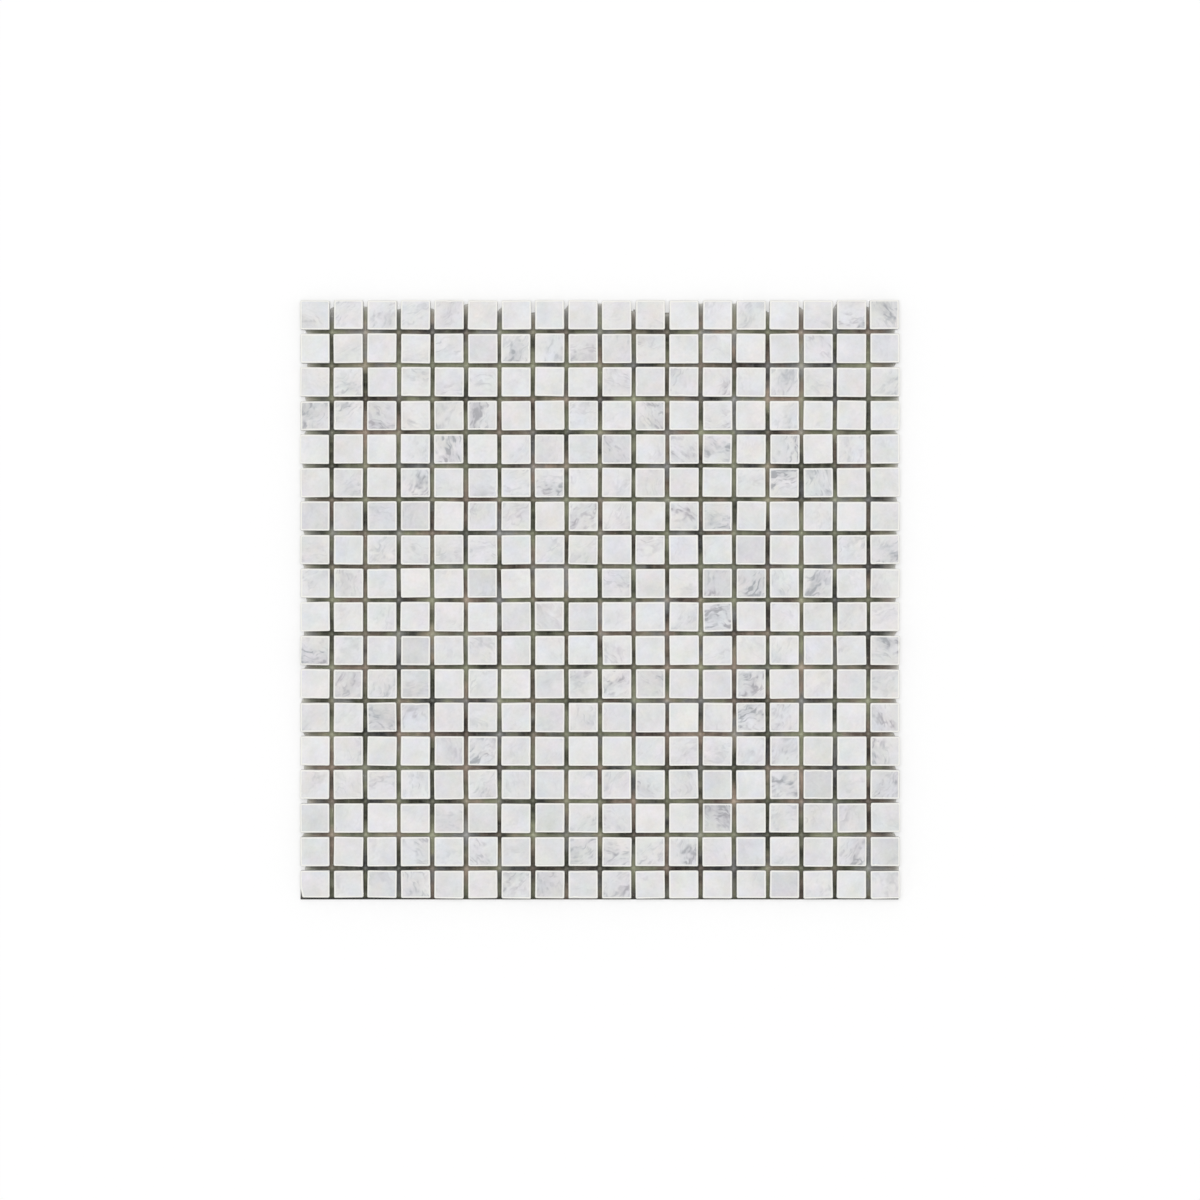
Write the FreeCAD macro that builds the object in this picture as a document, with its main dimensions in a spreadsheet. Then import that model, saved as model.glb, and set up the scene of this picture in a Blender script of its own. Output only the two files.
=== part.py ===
import FreeCAD, Part
import math
import os
import Sketcher

# A sheet of stone mosaic: square chips in rows and columns, held a joint's width apart by an
# adhesive coat and a fibreglass net on their backs. It lies face up.
# The origin is the middle of the sheet's back, on the surface that the sheet lies on.
# +X runs along the rows, +Y runs from the last row to the first, and +Z points out of the face.

# Driving dimensions, in millimetres
# The trims say how far the coat and the net are cut back from the sheet's edges: at the first row,
# at the last row and at both ends of the rows.
DIMENSIONS = {
    "columns": 18,
    "rows": 18,
    "chip_length": 15,
    "chip_width": 15,
    "chip_height": 9.5,
    "column_joint": 2,
    "row_joint": 2,
    "corner_ease": 0.8,
    "edge_ease": 0.5,
    "coat_height": 0.2,
    "first_trim": 4.5,
    "last_trim": 0.5,
    "side_trim": 3.2,
    "net_height": 0.3,
    "yarn_pitch": 5,
    "yarn_width": 1,
    "net_panels": 4,
}

doc = FreeCAD.newDocument("mosaic_tile_sheet")
sizes = doc.addObject("Spreadsheet::Sheet", "sizes")
for line, (name, value) in enumerate(DIMENSIONS.items(), 1):
    sizes.set(f"A{line}", name)
    sizes.set(f"B{line}", str(value))
    sizes.setAlias(f"B{line}", name)
doc.recompute()

# Sizes that follow from the driving ones, as expressions
COLUMN_PITCH = "(sizes.chip_length + sizes.column_joint)"
ROW_PITCH = "(sizes.chip_width + sizes.row_joint)"
SHEET_LENGTH = f"(sizes.columns * {COLUMN_PITCH} - sizes.column_joint)"
SHEET_WIDTH = f"(sizes.rows * {ROW_PITCH} - sizes.row_joint)"
BACK_LENGTH = f"({SHEET_LENGTH} - 2 * sizes.side_trim)"
BACK_WIDTH = f"({SHEET_WIDTH} - sizes.first_trim - sizes.last_trim)"
BACK_OFFSET = "((sizes.last_trim - sizes.first_trim) / 2)"
BACK_HEIGHT = "(sizes.net_height + sizes.coat_height)"

# Lengths that differ by less than this are the same
CLOSE = 1e-6


def size(name):
    return float(sizes.get(name))


def point(x, y):
    return FreeCAD.Vector(x, y, 0)


def origin_plane(body, role):
    return next(plane for plane in body.Origin.OriginFeatures if plane.Role == role)


def centred_rectangle(body, name, length, width):
    """A sketch of a rectangle about the body's origin. Its length and width are expressions."""
    sketch = body.newObject("Sketcher::SketchObject", name)
    sketch.AttachmentSupport = [(origin_plane(body, "XY_Plane"), "")]
    sketch.MapMode = "FlatFace"
    corners = [point(-1, -1), point(1, -1), point(1, 1), point(-1, 1)]
    for side in range(4):
        sketch.addGeometry(Part.LineSegment(corners[side], corners[(side + 1) % 4]), False)
    for side in range(4):
        sketch.addConstraint(Sketcher.Constraint("Coincident", side, 2, (side + 1) % 4, 1))
    for side, direction in enumerate(("Horizontal", "Vertical", "Horizontal", "Vertical")):
        sketch.addConstraint(Sketcher.Constraint(direction, side))
    sketch.addConstraint(Sketcher.Constraint("Symmetric", 0, 1, 1, 2, -1, 1))
    across = sketch.addConstraint(Sketcher.Constraint("DistanceX", 0, 1, 0, 2, 2))
    sketch.renameConstraint(across, "across")
    sketch.setExpression("Constraints.across", length)
    along = sketch.addConstraint(Sketcher.Constraint("DistanceY", 1, 1, 1, 2, 2))
    sketch.renameConstraint(along, "along")
    sketch.setExpression("Constraints.along", width)
    return sketch


def upright_edges(shape):
    upright = [abs(abs(edge.tangentAt(0).z) - 1) < CLOSE for edge in shape.Edges]
    return [f"Edge{i}" for i, stands in enumerate(upright, 1) if stands]


def top_edges(shape):
    top = shape.BoundBox.ZMax
    on_top = [all(abs(vertex.Z - top) < CLOSE for vertex in edge.Vertexes) for edge in shape.Edges]
    return [f"Edge{i}" for i, flat in enumerate(on_top, 1) if flat]


def tile_row(number):
    """One row of chips: a sawn block with eased corners and an eased face, repeated along the row."""
    body = doc.addObject("PartDesign::Body", f"tile_row_{number:02d}")
    outline_name = f"chip_outline_{number:02d}"
    outline = centred_rectangle(body, outline_name, "sizes.chip_length", "sizes.chip_width")

    block = body.newObject("PartDesign::Pad", f"chip_block_{number:02d}")
    block.Profile = outline
    block.setExpression("Length", "sizes.chip_height")
    doc.recompute()

    corners = body.newObject("PartDesign::Chamfer", f"chip_corners_{number:02d}")
    corners.Base = (block, upright_edges(block.Shape))
    corners.setExpression("Size", "sizes.corner_ease")
    doc.recompute()

    face = body.newObject("PartDesign::Chamfer", f"chip_face_{number:02d}")
    face.Base = (corners, top_edges(corners.Shape))
    face.setExpression("Size", "sizes.edge_ease")

    chips = body.newObject("PartDesign::LinearPattern", f"chips_{number:02d}")
    chips.TransformMode = "Whole shape"
    chips.Direction = (outline, ["H_Axis"])
    chips.Mode = "Spacing"
    chips.setExpression("Offset", COLUMN_PITCH)
    chips.setExpression("Occurrences", "sizes.columns")
    body.Tip = chips

    # The first row lies furthest towards +Y
    first_row = f"({SHEET_WIDTH} - sizes.chip_width) / 2"
    body.setExpression("Placement.Base.x", f"(sizes.chip_length - {SHEET_LENGTH}) / 2")
    body.setExpression("Placement.Base.y", f"{first_row} - {number - 1} * {ROW_PITCH}")
    body.setExpression("Placement.Base.z", BACK_HEIGHT)
    doc.recompute()
    return body


def adhesive_coat():
    """The thin coat that bonds the net to the chips' backs. It stops short of the sheet's edges."""
    body = doc.addObject("PartDesign::Body", "adhesive_coat")
    film = body.newObject("PartDesign::Pad", "coat_film")
    film.Profile = centred_rectangle(body, "coat_outline", BACK_LENGTH, BACK_WIDTH)
    film.setExpression("Length", "sizes.coat_height")
    body.Tip = film
    body.setExpression("Placement.Base.y", BACK_OFFSET)
    body.setExpression("Placement.Base.z", "sizes.net_height")
    return body


def evaluated(expression):
    """The value of an expression that is made of sizes."""
    return float(doc.getObject("sizes").evalExpression(expression))


def whole_meshes(room):
    """How many whole meshes of the net fit in the room, from the first yarn to the last."""
    return math.floor((room - size("yarn_width")) / size("yarn_pitch") + CLOSE)


def stub_length(room, meshes):
    """How far the cut yarns reach past the net's outer yarns."""
    return (room - meshes * size("yarn_pitch") - size("yarn_width")) / 2


def panel_span(place, meshes):
    """A panel's first and last mesh. The meshes are shared out as evenly as whole ones can be."""
    panels = size("net_panels")
    return round(place * meshes / panels), round((place + 1) * meshes / panels)


class Side:
    """A panel in one direction: its yarns, its two ends, and the cut yarns' reach past each end.

    A panel ends along the middle of a yarn, where the next one starts, or past the net's outer yarn.
    """

    def __init__(self, place, room):
        meshes = whole_meshes(room)
        first, last = panel_span(place, meshes)
        half_yarn = size("yarn_width") / 2
        stub = stub_length(room, meshes)
        self.start = (first - meshes / 2) * size("yarn_pitch")
        self.yarns = [mesh * size("yarn_pitch") for mesh in range(last - first + 1)]
        self.low = -half_yarn if first == 0 else 0
        self.high = self.yarns[-1] + (half_yarn if last == meshes else 0)
        self.low_stub = stub if first == 0 else 0
        self.high_stub = stub if last == meshes else 0


def outline_side(start, end, outward, yarns, stub):
    """One side of a panel's outline, straight or with the ends of the yarns that cross it."""
    if stub < CLOSE:
        return [start]
    length = (end - start).Length
    along = (end - start).normalize()
    half_yarn = size("yarn_width") / 2
    points = [start]
    for yarn in yarns:
        near = start + along * max(yarn - half_yarn, 0)
        far = start + along * min(yarn + half_yarn, length)
        points += [near, near + outward * stub, far + outward * stub, far]
    return points


def closed_wire(points):
    """A wire through the points and back to the first. Points that repeat the one before are left out."""
    kept = [here for place, here in enumerate(points) if here.distanceToPoint(points[place - 1]) > CLOSE]
    return Part.makePolygon(kept + kept[:1])


def panel_outline(across, up):
    """A panel's outline, with the cut ends of its yarns where the net ends."""
    corners = [
        point(across.low, up.low),
        point(across.high, up.low),
        point(across.high, up.high),
        point(across.low, up.high),
    ]
    x_yarns = [yarn - across.low for yarn in across.yarns]
    y_yarns = [yarn - up.low for yarn in up.yarns]
    x_back = [across.high - yarn for yarn in reversed(across.yarns)]
    y_back = [up.high - yarn for yarn in reversed(up.yarns)]
    points = outline_side(corners[0], corners[1], point(0, -1), x_yarns, up.low_stub)
    points += outline_side(corners[1], corners[2], point(1, 0), y_yarns, across.high_stub)
    points += outline_side(corners[2], corners[3], point(0, 1), x_back, up.high_stub)
    points += outline_side(corners[3], corners[0], point(-1, 0), y_back, across.low_stub)
    return closed_wire(points)


def net_opening(x, y):
    """The opening of one mesh, from the yarns at its low sides. It runs clockwise, as a hole does."""
    near = size("yarn_width") / 2
    far = size("yarn_pitch") - near
    corners = [point(near, near), point(near, far), point(far, far), point(far, near)]
    return closed_wire([corner + point(x, y) for corner in corners])


def net_panel(line, place):
    """One panel of the net: a flat web whose square openings leave yarns fused where they cross."""
    across = Side(place, evaluated(BACK_LENGTH))
    up = Side(line, evaluated(BACK_WIDTH))
    openings = [net_opening(x, y) for x in across.yarns[:-1] for y in up.yarns[:-1]]
    web = Part.Face([panel_outline(across, up)] + openings)

    panel = doc.addObject("Part::Feature", f"net_panel_{line + 1}_{place + 1}")
    panel.Shape = web.extrude(FreeCAD.Vector(0, 0, size("net_height")))
    panel.Placement.Base = point(across.start, up.start + evaluated(BACK_OFFSET))
    return panel


def fibreglass_net():
    """The whole net, panel by panel from the last row's left end."""
    panels = range(int(size("net_panels")))
    return [net_panel(line, place) for line in panels for place in panels]


pieces = [tile_row(number) for number in range(1, int(size("rows")) + 1)]
pieces.append(adhesive_coat())
pieces += fibreglass_net()
for piece in pieces:
    piece.Label = piece.Name
doc.recompute()

for item in doc.Objects:
    if "Invalid" in item.State or "Error" in item.State:
        raise RuntimeError(f"{item.Name} failed: {item.State}")
for piece in pieces:
    if piece.Shape.isNull() or not piece.Shape.isValid():
        raise RuntimeError(f"{piece.Label} has no valid shape")

os.makedirs("parts", exist_ok=True)
for piece in pieces:
    piece.Shape.exportStep(f"parts/{piece.Label}.step")
    print(piece.Label, len(piece.Shape.Solids), "solids", round(piece.Shape.Volume, 2), "mm3")
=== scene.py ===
import math

import bpy
import numpy as np
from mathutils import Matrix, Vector


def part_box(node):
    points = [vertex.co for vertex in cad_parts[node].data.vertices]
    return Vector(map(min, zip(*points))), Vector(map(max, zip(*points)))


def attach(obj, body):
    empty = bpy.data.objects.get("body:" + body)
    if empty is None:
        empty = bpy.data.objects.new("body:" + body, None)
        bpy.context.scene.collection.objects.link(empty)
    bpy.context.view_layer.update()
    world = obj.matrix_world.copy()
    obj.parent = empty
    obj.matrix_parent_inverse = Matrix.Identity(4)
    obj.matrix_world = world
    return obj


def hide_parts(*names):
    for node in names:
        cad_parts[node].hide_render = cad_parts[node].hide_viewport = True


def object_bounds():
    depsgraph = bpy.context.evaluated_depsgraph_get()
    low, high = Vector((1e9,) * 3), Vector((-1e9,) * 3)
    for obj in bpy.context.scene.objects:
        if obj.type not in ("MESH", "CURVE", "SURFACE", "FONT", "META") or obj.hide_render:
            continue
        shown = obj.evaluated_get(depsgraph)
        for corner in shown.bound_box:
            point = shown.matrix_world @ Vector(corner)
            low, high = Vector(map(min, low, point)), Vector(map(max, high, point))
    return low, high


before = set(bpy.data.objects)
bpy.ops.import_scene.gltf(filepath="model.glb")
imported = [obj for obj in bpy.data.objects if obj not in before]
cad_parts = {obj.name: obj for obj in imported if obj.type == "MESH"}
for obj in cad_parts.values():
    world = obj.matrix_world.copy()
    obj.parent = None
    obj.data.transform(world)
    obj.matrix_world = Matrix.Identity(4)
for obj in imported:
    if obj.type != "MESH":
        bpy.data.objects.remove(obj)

MM = 0.001
CM = 10 * MM
FIRST_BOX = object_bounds()

# Lengths in metres, and ratios, that differ by less than this are the same
CLOSE = 1e-6

# All random numbers come from one seed. Each row draws its own by its number, and the coat and the net
# draw theirs by these.
SEED = 17
COAT_DRAWS = 500
NET_DRAWS = 700

# The sheet
ROWS = sorted(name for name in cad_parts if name.startswith("tile_row_"))
NET_PANELS = sorted(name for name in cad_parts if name.startswith("net_panel_"))
COLUMNS = 18
JOINT = 2 * MM
SHEET_LOW, SHEET_HIGH = (np.array(corner[:2]) for corner in FIRST_BOX)

# One chip: the steps along its sides, round its corners and over its top edge
SIDE_STEPS = 11
CORNER_STEPS = 4
ARRIS_STEPS = 4

# How much smaller and lower than its place a chip can be, and how far it strays from it
MOST_TRIM = 0.08 * MM
MOST_DROP = 0.22 * MM
SHIFT = 0.1 * MM
TURN = math.radians(0.45)

# A chip's corners, its worn top edge with nicks, and its sawn sides
CORNER_RADIUS = (0.5 * MM, 0.9 * MM)
ARRIS = (0.22 * MM, 0.42 * MM)
ARRIS_WAVES = 6
ARRIS_UNEVEN = 0.16
NICKS = 3
NICK_DEPTH = (0.08 * MM, 0.35 * MM)
NICK_LENGTH = (0.4 * MM, 1.3 * MM)
EASE_LIMITS = (0.18 * MM, 0.85 * MM)
CORNER_SHARE = 0.8
BACK_EASE = 0.15 * MM
SAWN_GAP = 0.1 * MM
SAWN_WAVES = 4
SAWN_UNEVEN = 0.03 * MM

# Rings on a chip's face, as shares of the way from its middle to its edge, and how rubbed each is; the
# outer ring's value also paints a highlight round the face's edge
FACE_RINGS = ((0.949, 1.0), (0.915, 0.0), (0.5, 0.0))

# The wear of a chip's sawn sides and back
SAWN = -1.0

# The chips with the strongest grey veins, by row and column from the first row's left end, under how
# strong their veins are. The other chips' veins are random, and most of them faint.
VEINED = {
    1.0: ((4, 6), (5, 5), (5, 15), (6, 15), (9, 14), (10, 13), (11, 1), (11, 18), (13, 14), (16, 13)),
    0.69: (
        (1, 17), (2, 7), (3, 12), (4, 1), (4, 11), (5, 10), (6, 4), (6, 8), (7, 12), (9, 13), (9, 16),
        (12, 14), (13, 18), (15, 15), (17, 10), (17, 12), (17, 17),
    ),
}
VEIN_STRENGTHS = {place: strength for strength, places in VEINED.items() for place in places}
PLAIN_VEINS = 0.78
PLAIN_SHAPE = (1, 2.6)

# The directions that veins run in: the share of the chips that have each, its angle from the rows and
# how much that angle varies. A vein leans over by up to VEIN_LEAN of its depth.
COURSES = ((0.5, 50, 18), (0.3, 132, 20), (0.2, 5, 15))
VEIN_LEAN = 0.8

# In centimetres: how far a vein can pass from its chip's middle, and how far off in the stone's pattern
# a chip can be cut
VEIN_OFFSET = 0.35
STONE_REACH = 50

# The chips' tones: most are near the lightest, with a tail of darker ones
LIGHTEST_TONE = 0.066
TONE_SHAPE = 2.0
TONE_SCALE = 0.024
TONE_RANGE = 0.17

# The adhesive's surface: its grid lines by their distance from a joint's centre, and the step between
# lines elsewhere
GLUE_LINES = (0.35 * MM, 0.8 * MM, 1.15 * MM, 1.5 * MM)
GLUE_STEP = 1.3 * MM

# The adhesive sinks in the joints, unevenly, and climbs the chips' sides, which stand this far from a
# joint's centre
GLUE_WALL = 1.05 * MM
GLUE_SINK = 0.05 * MM
GLUE_LUMPS = 0.5
LUMP_LENGTHS = (4 * MM, 14 * MM)
GLUE_CLIMB = (0.1 * MM, 0.8 * MM)
GLUE_FILLET = 0.45 * MM
CLIMB_LENGTHS = (5 * MM, 20 * MM)

# A random field has this many waves. Nearly all of it is between these levels.
FIELD_WAVES = 24
FIELD_LEVELS = (-1.6, 1.6)

# A bead of adhesive along the last row's outer side, dark as a painted shadow line along the sheet's
# bottom edge: its width, its height above the coat at each line from the outside in, how far it stops
# short of the last corner, how dark its painted shadow is and how uneven it is
BEAD_WIDTH = 0.8 * MM
BEAD_PROFILE = ((0.0, 0.2 * MM), (0.25, 0.9 * MM), (0.7, 1.2 * MM))
BEAD_END = 0.5 * MM
BEAD_PAINTED_SHADOW = 0.14
BEAD_UNEVEN = 0.3
BEAD_LENGTHS = (4 * MM, 20 * MM)
BEAD_WAVES = 16

# Near the first column the bead is wider and its painted shadow darker, and it turns round the sheet's
# corner there
HEAVY_LENGTH = 53 * MM
HEAVY_FADE = 7 * MM
HEAVY_EXTRA = 0.4 * MM
HEAVY_PAINTED_SHADOW = 0.03
RETURN_WIDTH = 1.3 * MM
RETURN_LENGTH = 7 * MM

# The coat thins out at the joints' ends, at the sides and at the first row, where its pale colour paints
# the light that falls into the joints' open ends: how far it spreads at most, how far its edge wanders
# back from there, and how far in from the edge the painted light shows
SIDE_SPREAD = 2.9 * MM
SIDE_WANDER = 3.1 * MM
SIDE_FADE = 3.0 * MM
FIRST_SPREAD = 3.0 * MM
FIRST_WANDER = 5.5 * MM
FIRST_FADE = 4.0 * MM

# Its edge is ragged, with the middle and the swing of its wander as shares of the most. The points this
# far in from the edge stay where they are.
RAGGED_MIDDLE = 0.5
RAGGED_SWING = 0.4
RAGGED_LENGTHS = (6 * MM, 50 * MM)
WANDER_REACH = 12 * MM

# The coat near the last row's side is darkened with painted shade
DARK_REACH = 8 * MM
DARK_PAINTED_SHADE = 0.6

# The net's yarns: how they lie and wander, and their section by width and half height
YARN_PITCH = 5 * MM
YARN_WIDTH = 1 * MM
YARN_STEPS = 3
YARN_WEAVE = 0.05 * MM
YARN_HALF_HEIGHT = 0.09 * MM
YARN_WANDER = 0.12 * MM
YARN_WAVES = (15 * MM, 60 * MM)
YARN_SECTION = ((0.5, 0.0), (0.28, 0.9), (-0.28, 0.9), (-0.5, 0.0), (-0.28, -0.9), (0.28, -0.9))

# Colours
COOL_MARBLE = (0.704, 0.711, 0.722, 1.0)
WARM_MARBLE = (0.722, 0.711, 0.706, 1.0)
# Pale rim colour: partly rubbed, bruised stone, partly a painted highlight along the face's edge
WORN_AND_HIGHLIT_MARBLE = (0.965, 0.957, 0.9, 1.0)
BLUE_VEIN = (0.33, 0.355, 0.385, 1.0)
VIOLET_VEIN = (0.385, 0.363, 0.4, 1.0)
OLIVE_GLUE = (0.39, 0.398, 0.28, 1.0)
BROWN_GLUE = (0.487, 0.391, 0.316, 1.0)
GREY_GLUE = (0.385, 0.385, 0.375, 1.0)
SMEARED_GLUE = (0.4, 0.385, 0.3, 1.0)
# Pale colour at the joints' open ends: painted light
PALE_LIT_FILM = (0.9, 0.89, 0.84, 1.0)
CHIP_BACKS = (0.67, 0.67, 0.65, 1.0)
DARK_YARN = (0.56, 0.545, 0.49, 1.0)
PALE_YARN = (0.74, 0.73, 0.69, 1.0)
YARN_COATING = (0.5, 0.48, 0.38, 1.0)
LIT_FLOOR = (0.8, 0.8, 0.8, 1.0)
WHITE = (1.0, 1.0, 1.0, 1.0)

# The marble's tint: how much its red, green and blue vary, and about what
TINT_SPREAD = (0.21, 0.08, 0.29)
TINT_MIDDLE = (1.001, 1.0, 1.002)

# The stage
FLOOR_SIZE = 12.0
FLOOR_ROUGHNESS = 0.9
FLOOR_GLOW = 0.42
GLOW_LEVEL = 1.16
WORLD_LEVEL = 0.58
KEY_PLACE = (-0.15, 0.4, 6.0)
KEY_SIZE = 1.8
KEY_POWER = 116.0

# The camera, and the widths of the picture and of the sheet in it, in pixels
CAMERA_HEIGHT = 5.0
CAMERA_CLIP = (0.01, 20.0)
SENSOR = 36.0
PICTURE_PIXELS = 1200
SHEET_PIXELS = 600


def draws(number):
    """A piece's own random numbers."""
    return np.random.default_rng(SEED * 1000 + number)


def mesh_object(name, points, faces):
    mesh = bpy.data.meshes.new(name)
    mesh.from_pydata(np.asarray(points).tolist(), [], faces)
    mesh.polygons.foreach_set("use_smooth", [True] * len(mesh.polygons))
    mesh.update()
    thing = bpy.data.objects.new(name, mesh)
    bpy.context.scene.collection.objects.link(thing)
    return thing


def point_attribute(thing, name, values):
    """A value, or a vector of three, for each point of the mesh."""
    values = np.asarray(values, dtype=np.float32)
    kind, field = ("FLOAT_VECTOR", "vector") if values.ndim == 2 else ("FLOAT", "value")
    attribute = thing.data.attributes.new(name, kind, "POINT")
    attribute.data.foreach_set(field, values.ravel())


def finish_piece(piece, slot, *nodes):
    """The piece stands for the nodes, which it hides, and moves with the sheet. The slot is not used."""
    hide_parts(*nodes)
    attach(piece, "root")


def waves(rng, along, count, size):
    """A smooth closed curve round a chip: a few sine waves of random phase."""
    total = np.zeros_like(along)
    for turns in range(1, count + 1):
        total += rng.normal() * np.sin(2 * math.pi * (turns * along + rng.random())) / math.sqrt(turns)
    return size * total / math.sqrt(count)


def random_field(rng, length_range, count=FIELD_WAVES):
    """A smooth random function of x and y, about -2 to 2, made of plane waves."""
    shortest, longest = length_range
    lengths = np.exp(rng.uniform(math.log(shortest), math.log(longest), size=count))
    angles = rng.uniform(0, 2 * math.pi, size=count)
    phases = rng.uniform(0, 2 * math.pi, size=count)

    def value(x, y):
        total = np.zeros(np.broadcast(x, y).shape)
        for length, angle, phase in zip(lengths, angles, phases):
            total += np.sin(2 * math.pi * (x * math.cos(angle) + y * math.sin(angle)) / length + phase)
        return total / math.sqrt(count / 2)

    return value


# The bead along the last row, dark as a painted shadow line

def heavy_shadow_bead(x):
    """How heavy the last row's bead and its painted shadow are at a place along it: 1 near the first
    column, 0 further on.
    """
    return 1 / (1 + np.exp((x - SHEET_LOW[0] - HEAVY_LENGTH) / HEAVY_FADE))


def bead_room(plan, chip_length):
    """How far the last row's points give way to the bead where it is heavy, and to its return."""
    inside = plan - SHEET_LOW
    share = np.clip(1 - inside / chip_length, 0, 1)
    across = RETURN_WIDTH * share[:, 0] * np.clip(1 - inside[:, 1] / RETURN_LENGTH, 0, 1)
    up = HEAVY_EXTRA * share[:, 1] * heavy_shadow_bead(plan[:, 0])
    return np.c_[across, up]


# The chips

def chip_outline(rng, half_x, half_y):
    """Points round a chip's plan, their outward directions and how far each can move inwards."""
    arcs = []
    for sign_x, sign_y, start in ((1, 1, 0), (-1, 1, 90), (-1, -1, 180), (1, -1, 270)):
        radius = rng.uniform(*CORNER_RADIUS)
        trim_x, trim_y = rng.uniform(0, MOST_TRIM, size=2)
        angles = np.radians(start + np.linspace(0, 90, CORNER_STEPS + 1))
        normals = np.c_[np.cos(angles), np.sin(angles)]
        centre = np.array([sign_x * (half_x - trim_x - radius), sign_y * (half_y - trim_y - radius)])
        arcs.append((centre + radius * normals, normals, np.full(len(angles), CORNER_SHARE * radius)))
    points, outward, room = [], [], []
    for place, (arc, normals, limits) in enumerate(arcs):
        following = arcs[(place + 1) % 4]
        share = np.linspace(0, 1, SIDE_STEPS + 1)[1:-1, None]
        points += [arc, arc[-1] * (1 - share) + following[0][0] * share]
        outward += [normals, np.repeat(normals[-1:], len(share), axis=0)]
        room += [limits, np.full(len(share), EASE_LIMITS[1])]
    return np.vstack(points), np.vstack(outward), np.concatenate(room)


def worn_arris(rng, along, reach, room):
    """How far the top edge is eased, point by point round the chip, with a few nicks."""
    ease = rng.uniform(*ARRIS) * (1 + waves(rng, along, ARRIS_WAVES, ARRIS_UNEVEN))
    for _ in range(rng.integers(0, NICKS + 1)):
        away = np.abs((along - rng.random() + 0.5) % 1 - 0.5) * reach
        ease += rng.uniform(*NICK_DEPTH) * np.exp(-((away / rng.uniform(*NICK_LENGTH)) ** 2))
    ease = np.minimum(np.clip(ease, *EASE_LIMITS), room)
    corners = ease.reshape(4, -1)[:, :CORNER_STEPS + 1]
    corners[:] = corners.min(axis=1, keepdims=True)
    return ease


def chip_rings(rng, half_x, half_y, low, high):
    """The rings of points of one chip, from the back to the face, and how rubbed each ring is; the face's
    outer ring also carries a painted highlight.
    """
    outline, outward, room = chip_outline(rng, half_x, half_y)
    along = np.arange(len(outline)) / len(outline)
    reach = np.linalg.norm(np.roll(outline, -1, axis=0) - outline, axis=1).sum()
    ease = worn_arris(rng, along, reach, room)
    sawn = np.abs(waves(rng, along, SAWN_WAVES, SAWN_UNEVEN))
    level = np.ones_like(along)
    stages = [
        (sawn + BACK_EASE, low * level, SAWN),
        (sawn, (low + BACK_EASE) * level, SAWN),
        (sawn, high - ease - SAWN_GAP, SAWN),
    ]
    for step in range(ARRIS_STEPS + 1):
        turn = step / ARRIS_STEPS
        inset = ease * (1 - math.cos(turn * math.pi / 2))
        drop = ease * (1 - math.sin(turn * math.pi / 2))
        stages.append((sawn * (1 - turn) + inset, high - drop, turn))
    rings = [np.c_[outline - outward * inset[:, None], height] for inset, height, _ in stages]
    face_edge = rings[-1]
    rings += [np.c_[face_edge[:, :2] * share, face_edge[:, 2]] for share, _ in FACE_RINGS]
    return rings, [worn_and_highlit for _, _, worn_and_highlit in stages] + [worn_and_highlit for _, worn_and_highlit in FACE_RINGS]


def chip_faces(around, rings):
    """The faces between the rings, and the fans that close the face and the back."""
    faces = []
    for near in range(0, (rings - 1) * around, around):
        for step in range(around):
            after = (step + 1) % around
            faces.append((near + step, near + after, near + around + after, near + around + step))
    last, middle, back = (rings - 1) * around, rings * around, rings * around + 1
    for step in range(around):
        after = (step + 1) % around
        faces.append((last + step, last + after, middle))
        faces.append((after, step, back))
    return faces


def one_chip(rng, half, low, high):
    """One chip about its own middle: its points, its faces, and at each point how rubbed it is, with a
    painted highlight round its face's edge.
    """
    top = high - rng.uniform(0, MOST_DROP)
    rings, wear_and_highlight = chip_rings(rng, *half, low, top)
    around = len(rings[0])
    points = np.vstack(rings + [[[0, 0, top]], [[0, 0, low]]])
    worn_and_highlit = np.repeat(wear_and_highlight + [0.0, SAWN], [around] * len(rings) + [1, 1])
    return points, chip_faces(around, len(rings)), worn_and_highlit


def laid_plan(rng, points, centre):
    """The plan of a chip's points where it is laid, a little turned and shifted, inside the sheet."""
    turn = rng.normal(0, TURN)
    x = points[:, 0] * math.cos(turn) - points[:, 1] * math.sin(turn)
    y = points[:, 0] * math.sin(turn) + points[:, 1] * math.cos(turn)
    return np.clip(np.c_[x, y] + (centre + rng.normal(0, SHIFT, size=2)), SHEET_LOW, SHEET_HIGH)


def random_turn(rng):
    """A random rotation matrix, so that each chip is cut from the stone in its own direction."""
    matrix, _ = np.linalg.qr(rng.normal(size=(3, 3)))
    return matrix


def vein_line(rng, points):
    """The points' places by a chip's own vein: across it, along it and up, in centimetres."""
    _, angle, spread = COURSES[rng.choice(len(COURSES), p=[share for share, _, _ in COURSES])]
    course = math.radians(rng.normal(angle, spread))
    lean = rng.uniform(-VEIN_LEAN, VEIN_LEAN)
    along = points @ [math.cos(course), math.sin(course), 0.0]
    across = points @ [-math.sin(course), math.cos(course), lean]
    furthest = np.array([VEIN_OFFSET, STONE_REACH, STONE_REACH])
    return np.c_[across, along, points[:, 2]] / CM + rng.uniform(-furthest, furthest)


def chip_stone(rng, points, listed_veins):
    """A chip's own stone at each of its points: place and vein in centimetres, tone, hue and veins."""
    plain = rng.beta(*PLAIN_SHAPE) * PLAIN_VEINS
    tone = LIGHTEST_TONE - min(rng.gamma(TONE_SHAPE, TONE_SCALE), TONE_RANGE)
    return {
        "stone_place": points @ random_turn(rng) / CM + rng.uniform(-STONE_REACH, STONE_REACH, size=3),
        "stone_line": vein_line(rng, points),
        "stone_tone": np.full(len(points), tone),
        "stone_hue": np.full(len(points), rng.normal()),
        "stone_veins": np.full(len(points), plain if listed_veins is None else listed_veins),
    }


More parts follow.
